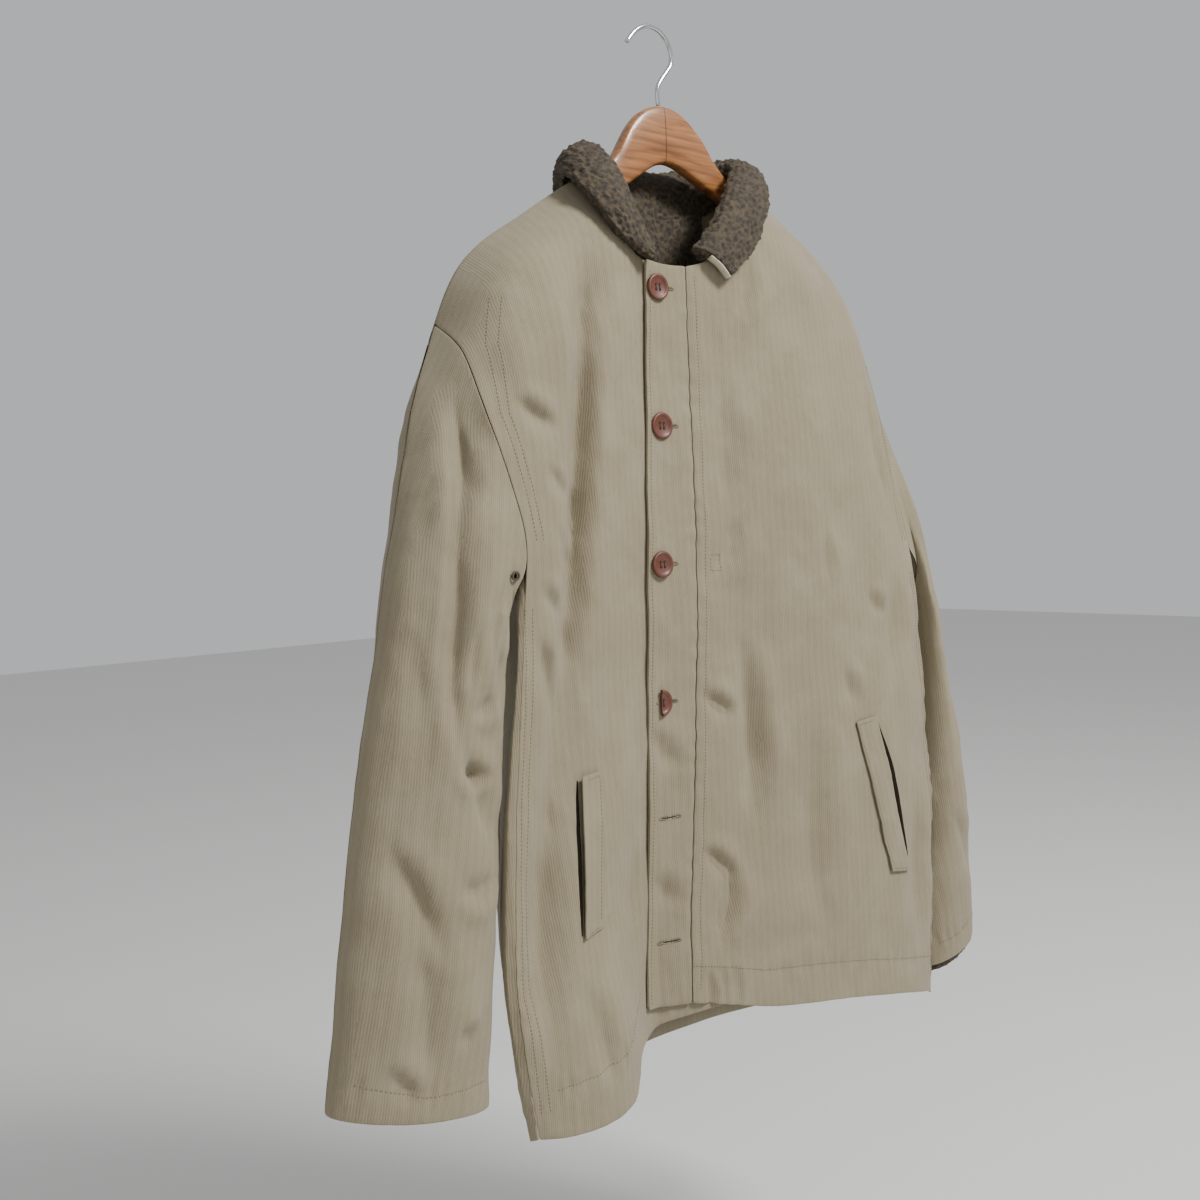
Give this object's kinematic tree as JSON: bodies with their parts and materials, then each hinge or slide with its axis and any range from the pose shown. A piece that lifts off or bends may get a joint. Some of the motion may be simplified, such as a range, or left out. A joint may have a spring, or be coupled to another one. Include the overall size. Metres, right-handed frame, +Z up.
{
  "type": "fur jacket on wooden hanger",
  "caption": "Cotton deck jacket with a pile collar, buttoned front and open sleeves, hanging on a varnished wooden hanger with a wire hook",
  "frame": {"origin": "inside of the crown of the hanger's hook, where a nail or rail bears", "axes": "+Z up, -Y the jacket's front, +X the wearer's left"},
  "size_m": [0.8111, 0.1734, 0.9523],
  "materials": {
    "shell": "matt khaki cotton",
    "pile": "dark brown curly pile",
    "strip": "pale cotton",
    "thread": "thread",
    "button": "dark red-brown, four holes",
    "wood": "varnished",
    "chrome": "bright"
  },
  "bodies": {
    "root": {"back": "shell", "front_right": "shell", "front_left": "shell", "button_band": "shell", "sleeve_right_front": "shell", "sleeve_right_back": "shell", "sleeve_left_front": "shell", "sleeve_left_back": "shell", "pocket_welt_right": "shell", "pocket_welt_left": "shell", "collar": "pile", "neck_lining": "pile", "cuff_lining_left": "pile", "collar_strip": "strip", "eyelet_right": "thread", "button_1": "button", "button_2": "button", "button_3": "button", "button_4": "button", "hanger_wood": "wood", "hanger_hook": "chrome"}
  },
  "joints": []
}
